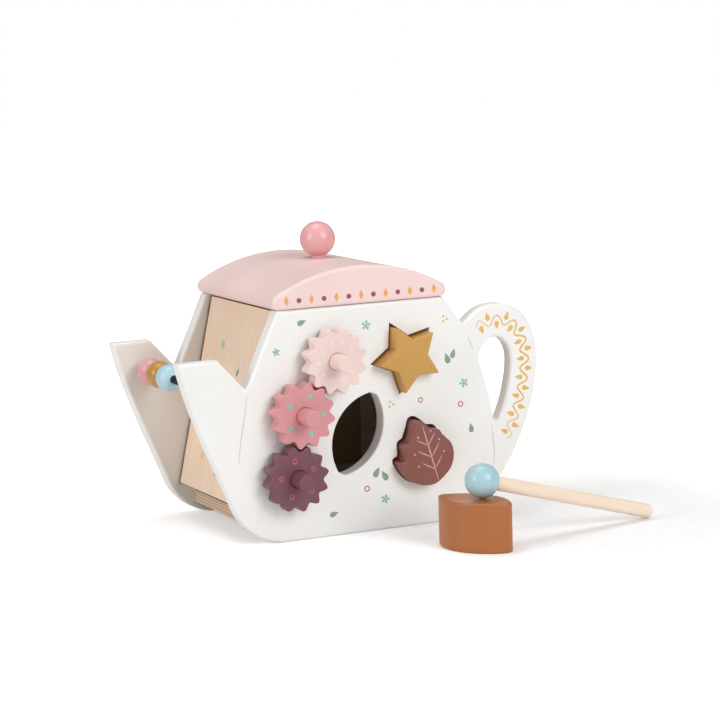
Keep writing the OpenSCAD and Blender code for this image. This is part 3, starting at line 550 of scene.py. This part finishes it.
addPrint("panelHearts", "orangeInk", hosts["front"], [("dot", x, z, 1.0) for x, z, size, turn in flowers]
         + [("dot", x, z, 0.8) for x, z in ((64, 148), (66.5, 146), (63.5, 144.5), (20, 91), (22.5, 89),
                                            (19.5, 87.5))])
drops = [(-46, 153, 7, 20), (66, 118, 8, 110), (71, 121, 7, 70), (8, 42, 8, 60), (14, 39, 8, 120),
         (84, 66, 7, 100), (-26, 16, 7, 15)]
addPrint("panelDrops", "sageInk", hosts["front"], [("drop", *spot) for spot in drops])
addPrint("panelRings", "redInk", hosts["front"], [("ring", *spot) for spot in (
    (76, 84, 1.8), (0, 31, 1.8), (44, 90, 1.6), (-6, 116, 1.6))])
edging = [-57 + 9.5 * k for k in range(13)]
addPrint("lidDiamonds", "orangeInk", hosts["lid"], [("diamond", x, 6.2, 7.0, 90) for x in edging[::2]])
addPrint("lidDots", "plumInk", hosts["lid"], [("dot", x, 6.0, 1.8) for x in edging[1::2]])
handleMiddle = [(90, 137.8), (98, 140.6), (106, 141.9), (112.6, 141.2), (118.8, 138.2), (123.6, 133),
                (127.6, 124.3), (129, 114.8),
                (128.4, 103.7), (126.1, 91.3), (122.5, 78.8), (117.4, 66), (112, 55)]
vine = smoothPath(handleMiddle, 0.7)
hollows = waveAlong(vine, 14.0, -3.8)
seeds = []  # one drop in each hollow of the wave
for spot in range(5, len(hollows) - 4, 10):
    aside = hollows[spot] - vine[spot]
    seeds.append(("drop", *hollows[spot], 6.4, math.degrees(math.atan2(aside.y, aside.x))))
addPrint("handleWave", "ochreInk", hosts["front"], seeds, [(waveAlong(vine, 14.0, 3.4), 1.4)])
# painted shade: soft grey strokes along the creases where spout and handle meet the body
creases = [[(-88.8, 107), (-91.9, 88), (-94.5, 76), (-97, 59)], [(83.5, 131), (85.2, 127), (87, 122.5)],
           [(100.6, 68), (102.5, 48.5), (102, 37)]]
addPrint("frontCreases", "creaseShadeInk", hosts["front"], [], [(smoothPath(line, 1.5), 0.8) for line in creases])
addPrint("backCreases", "creaseShadeInk", hosts["back"], [],
         [(smoothPath([(-x, z) for x, z in line], 1.5), 0.8) for line in creases])
addPrint("topGearDots", "whiteInk", hosts["topGear"],
         [("dot", 13.5 * math.cos(a), 13.5 * math.sin(a), 1.0) for a in ringAngles(10)])
addPrint("middleGearDrops", "tealInk", hosts["middleGear"],
         [("drop", 13 * math.cos(a), 13 * math.sin(a), 5.0, math.degrees(a) + 180)
         for a in ringAngles(5)])
addPrint("bottomGearRings", "redInk", hosts["bottomGear"],
         [("ring", 13 * math.cos(a + 0.5), 13 * math.sin(a + 0.5), 1.5)
         for a in ringAngles(5)])
ribFoot, ribTip = Vector((51.5, 33.5)), Vector((40, 73))
veins = []
for share, reach in ((0.2, 11), (0.42, 12), (0.64, 10)):
    start = ribFoot.lerp(ribTip, share)
    for sign in (-1, 1):
        way = Matrix.Rotation(math.radians(sign * 48), 2) @ (ribTip - ribFoot).normalized()
        veins.append((smoothPath([start, start + way * reach * 0.5, start + way * reach], 1.2), 0.9))
addPrint("leafVeins", "pinkInk", hosts["leaf"],
         [("dot", *(ribFoot.lerp(ribTip, s) + Vector((dx, dz))), 0.8) for s, dx, dz in (
    (0.35, -11, -3), (0.55, -12, -2), (0.35, 9, 6), (0.58, 8, 6), (0.8, -6, 0), (0.8, 4, 4))],
    veins + [(smoothPath([ribFoot, ribFoot.lerp(ribTip, 0.5), ribTip], 1.2), 1.2)])
addPrint("flapPetals", "tealInk", hosts["flap"],
         [("petals", -20, -22, 3.4, 0), ("petals", 22, -84, 3.4, 30)])
addPrint("flapHearts", "orangeInk", hosts["flap"],
         [("dot", -20, -22, 1.0), ("dot", 22, -84, 1.0), ("ring", -24, -104, 1.8)])
addPrint("flapDrops", "sageInk", hosts["flap"],
         [("drop", 14, -38, 7, 60), ("drop", -12, -66, 7, 130), ("drop", 6, -112, 7, 20)])
print("prints laid")


def addLamp(name, lamp):
    light = bpy.data.lights.new(name, "AREA")
    light.shape, light.size, light.size_y = "RECTANGLE", lamp["width"], lamp["height"]
    light.energy, light.color = lamp["power"], linear(lamp["hex"])[:3]
    holder = bpy.data.objects.new(name, light)
    holder.location = lamp["place"]
    aim = Vector(lamp["aim"]) - Vector(lamp["place"])
    holder.rotation_euler = aim.to_track_quat("-Z", "Y").to_euler()
    scene.collection.objects.link(holder)
    return holder


lamps = {
    "keyBox": {"place": (0.65, -1.93, 1.1), "aim": (0.0, 0.0, 0.08), "width": 1.1, "height": 1.2,
               "power": 26.5, "hex": "#FBFDFF"},
    "sideBox": {"place": (-2.0, -0.35, 0.85), "aim": (0.0, 0.0, 0.1), "width": 0.6, "height": 1.2,
                "power": 16, "hex": "#FFFFFF"},
    "topBox": {"place": (-0.1, 0.2, 1.9), "aim": (0.0, 0.0, 0.1), "width": 1.4, "height": 1.0, "power": 13,
               "hex": "#FFFFFF"},
}
for name, lamp in lamps.items():
    addLamp(name, lamp)

world = bpy.data.worlds.new("studio")
world.use_nodes = True
tree = world.node_tree
tree.nodes.clear()
path = addNode(tree, "ShaderNodeLightPath")
seen = addNode(tree, "ShaderNodeMath", {"operation": "MAXIMUM"}, {0: path.outputs["Is Camera Ray"],
               1: path.outputs["Is Transmission Ray"]})
soft = addNode(tree, "ShaderNodeBackground", {"Color": linear("#FFFFFF"), "Strength": 0.29})
bare = addNode(tree, "ShaderNodeBackground", {"Color": linear("#FFFFFF"), "Strength": 1.0})
sky = addNode(tree, "ShaderNodeMixShader", None,
              {0: seen.outputs[0], 1: soft.outputs[0], 2: bare.outputs[0]})
addNode(tree, "ShaderNodeOutputWorld", None, {"Surface": sky.outputs[0]})
scene.world = world

floorMaterial, tree = startMaterial("studioFloor")  # seamless paper: white to the lens, keeps a soft shadow
place = addNode(tree, "ShaderNodeTexCoord").outputs["Object"]
fleck = addNode(tree, "ShaderNodeTexNoise", {"Scale": 1 / (8 * mm), "Detail": 3.0}, {"Vector": place})
paper = addRamp(tree, fleck.outputs["Fac"], [(0.3, linear("#F6F6F6")), (0.7, linear("#FAFAFA"))])
sheet = addNode(tree, "ShaderNodeBsdfDiffuse", None, {"Color": paper})
path = addNode(tree, "ShaderNodeLightPath")
away = addNode(tree, "ShaderNodeVectorMath", {"operation": "DISTANCE", 1: (0.15, -0.12, 0)}, {0: place})
near = addNode(tree, "ShaderNodeMapRange",
               {"interpolation_type": "SMOOTHSTEP", "From Min": 0.08, "From Max": 0.24,
               "To Min": 0.05, "To Max": 0.38},
               {"Value": away.outputs["Value"]})  # painted light: the paper glows to the lens more and more away from the block, so only the shadow close to it shows
far = addNode(tree, "ShaderNodeMapRange",
              {"interpolation_type": "SMOOTHSTEP", "From Min": 0.3, "From Max": 0.8},
              {"Value": away.outputs["Value"]})
most = addNode(tree, "ShaderNodeMath", {"operation": "MAXIMUM"},
               {0: near.outputs["Result"], 1: far.outputs["Result"]})
lift = addNode(tree, "ShaderNodeMath", {"operation": "MULTIPLY"},
               {0: path.outputs["Is Camera Ray"], 1: most.outputs[0]})
glow = addNode(tree, "ShaderNodeEmission", {"Color": (1, 1, 1, 1)}, {"Strength": lift.outputs[0]})
closeMaterial(tree, addNode(tree, "ShaderNodeAddShader", None, {0: sheet.outputs[0], 1: glow.outputs[0]}))
floorShape = bmesh.new()
bmesh.ops.create_grid(floorShape, x_segments=1, y_segments=1, size=6.0)
floorMesh = bpy.data.meshes.new("studioFloor")
floorShape.to_mesh(floorMesh)
floorShape.free()
floorMesh.materials.append(floorMaterial)
floorThing = bpy.data.objects.new("studioFloor", floorMesh)
scene.collection.objects.link(floorThing)
print("light and floor set")

shot = {"azimuth": -25.48, "elevation": 8.40, "roll": -0.031, "distance": 1.7609, "across": 0.02791,
        "rise": 0.11217,
        "lens": 120.3}
turn, tilt = math.radians(shot["azimuth"]), math.radians(shot["elevation"])
back = Vector((math.sin(turn) * math.cos(tilt), -math.cos(turn) * math.cos(tilt), math.sin(tilt)))
right = Vector((math.cos(turn), math.sin(turn), 0))
up = back.cross(right)
eye = shot["across"] * right + shot["rise"] * up + shot["distance"] * back
across = right * math.cos(shot["roll"]) + up * math.sin(shot["roll"])
upward = up * math.cos(shot["roll"]) - right * math.sin(shot["roll"])
cameraData = bpy.data.cameras.new("photoCamera")
cameraData.lens, cameraData.sensor_width = shot["lens"], 36
camera = bpy.data.objects.new("photoCamera", cameraData)
camera.matrix_world = Matrix([(*axis, 0) for axis in (across, upward, back)] + [(*eye, 1)]).transposed()
scene.collection.objects.link(camera)
scene.camera = camera
print("camera at", [round(v, 3) for v in eye])
